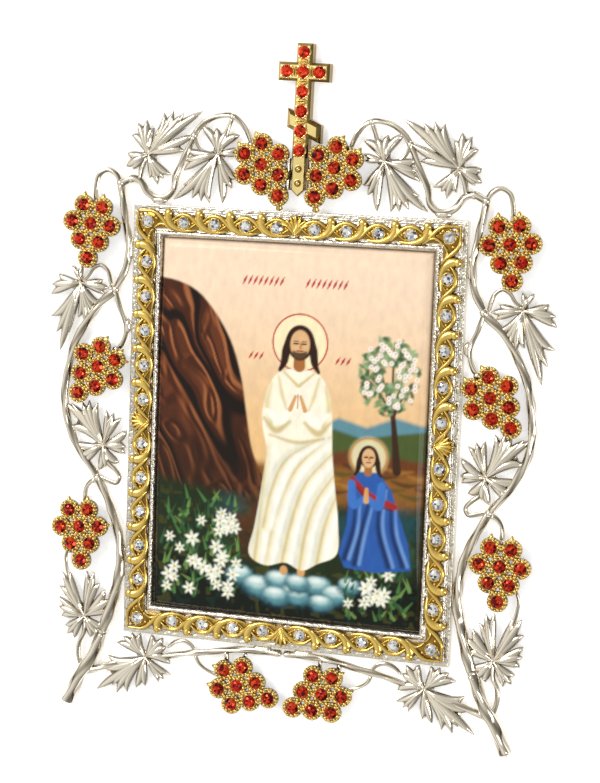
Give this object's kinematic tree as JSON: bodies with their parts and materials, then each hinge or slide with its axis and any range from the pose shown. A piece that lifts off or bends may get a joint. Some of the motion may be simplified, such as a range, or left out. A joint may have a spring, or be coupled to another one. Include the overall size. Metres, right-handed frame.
{
  "type": "jewelled icon",
  "caption": "Small painted picture plaque in a silver frame with a jewelled gilt band, bordered by silver vines with gilt grape clusters and a gilt three-bar cross on top.",
  "frame": {"origin": "middle of the flat back, on the picture plaque's underside", "axes": "+Z out of the picture, +Y up the picture towards the cross, +X to the right as seen from the front; it lies on its back"},
  "size_m": [0.1102, 0.1441, 0.0043],
  "materials": {
    "frame_silver": "bark-textured silver",
    "vine_silver": "polished cast silver",
    "band_gilt": "polished gilt",
    "cluster_gilt": "gilt, milgrain edged",
    "red_stone": "faceted red stone",
    "clear_stone": "faceted clear stone",
    "painted_plaque": "painted under a glossy clear coat"
  },
  "bodies": {
    "root": {"frame": "frame_silver", "scroll_band": "band_gilt", "picture_plaque": "painted_plaque", "vine_left": "vine_silver", "vine_right": "vine_silver", "grape_cluster_top_left": "cluster_gilt", "grape_cluster_top_right": "cluster_gilt", "grape_cluster_shoulder_left": "cluster_gilt", "grape_cluster_shoulder_right": "cluster_gilt", "grape_cluster_side_left": "cluster_gilt", "grape_cluster_side_right": "cluster_gilt", "grape_cluster_lower_left": "cluster_gilt", "grape_cluster_lower_right": "cluster_gilt", "grape_cluster_bottom_left": "cluster_gilt", "grape_cluster_bottom_right": "cluster_gilt", "cross": "cluster_gilt", "cross_socket": "vine_silver", "cross_stone_1": "red_stone", "cross_stone_2": "red_stone", "cross_stone_3": "red_stone", "cross_stone_4": "red_stone", "cross_stone_5": "red_stone", "cross_stone_6": "red_stone", "cross_stone_7": "red_stone", "cross_stone_8": "red_stone"}
  },
  "joints": []
}
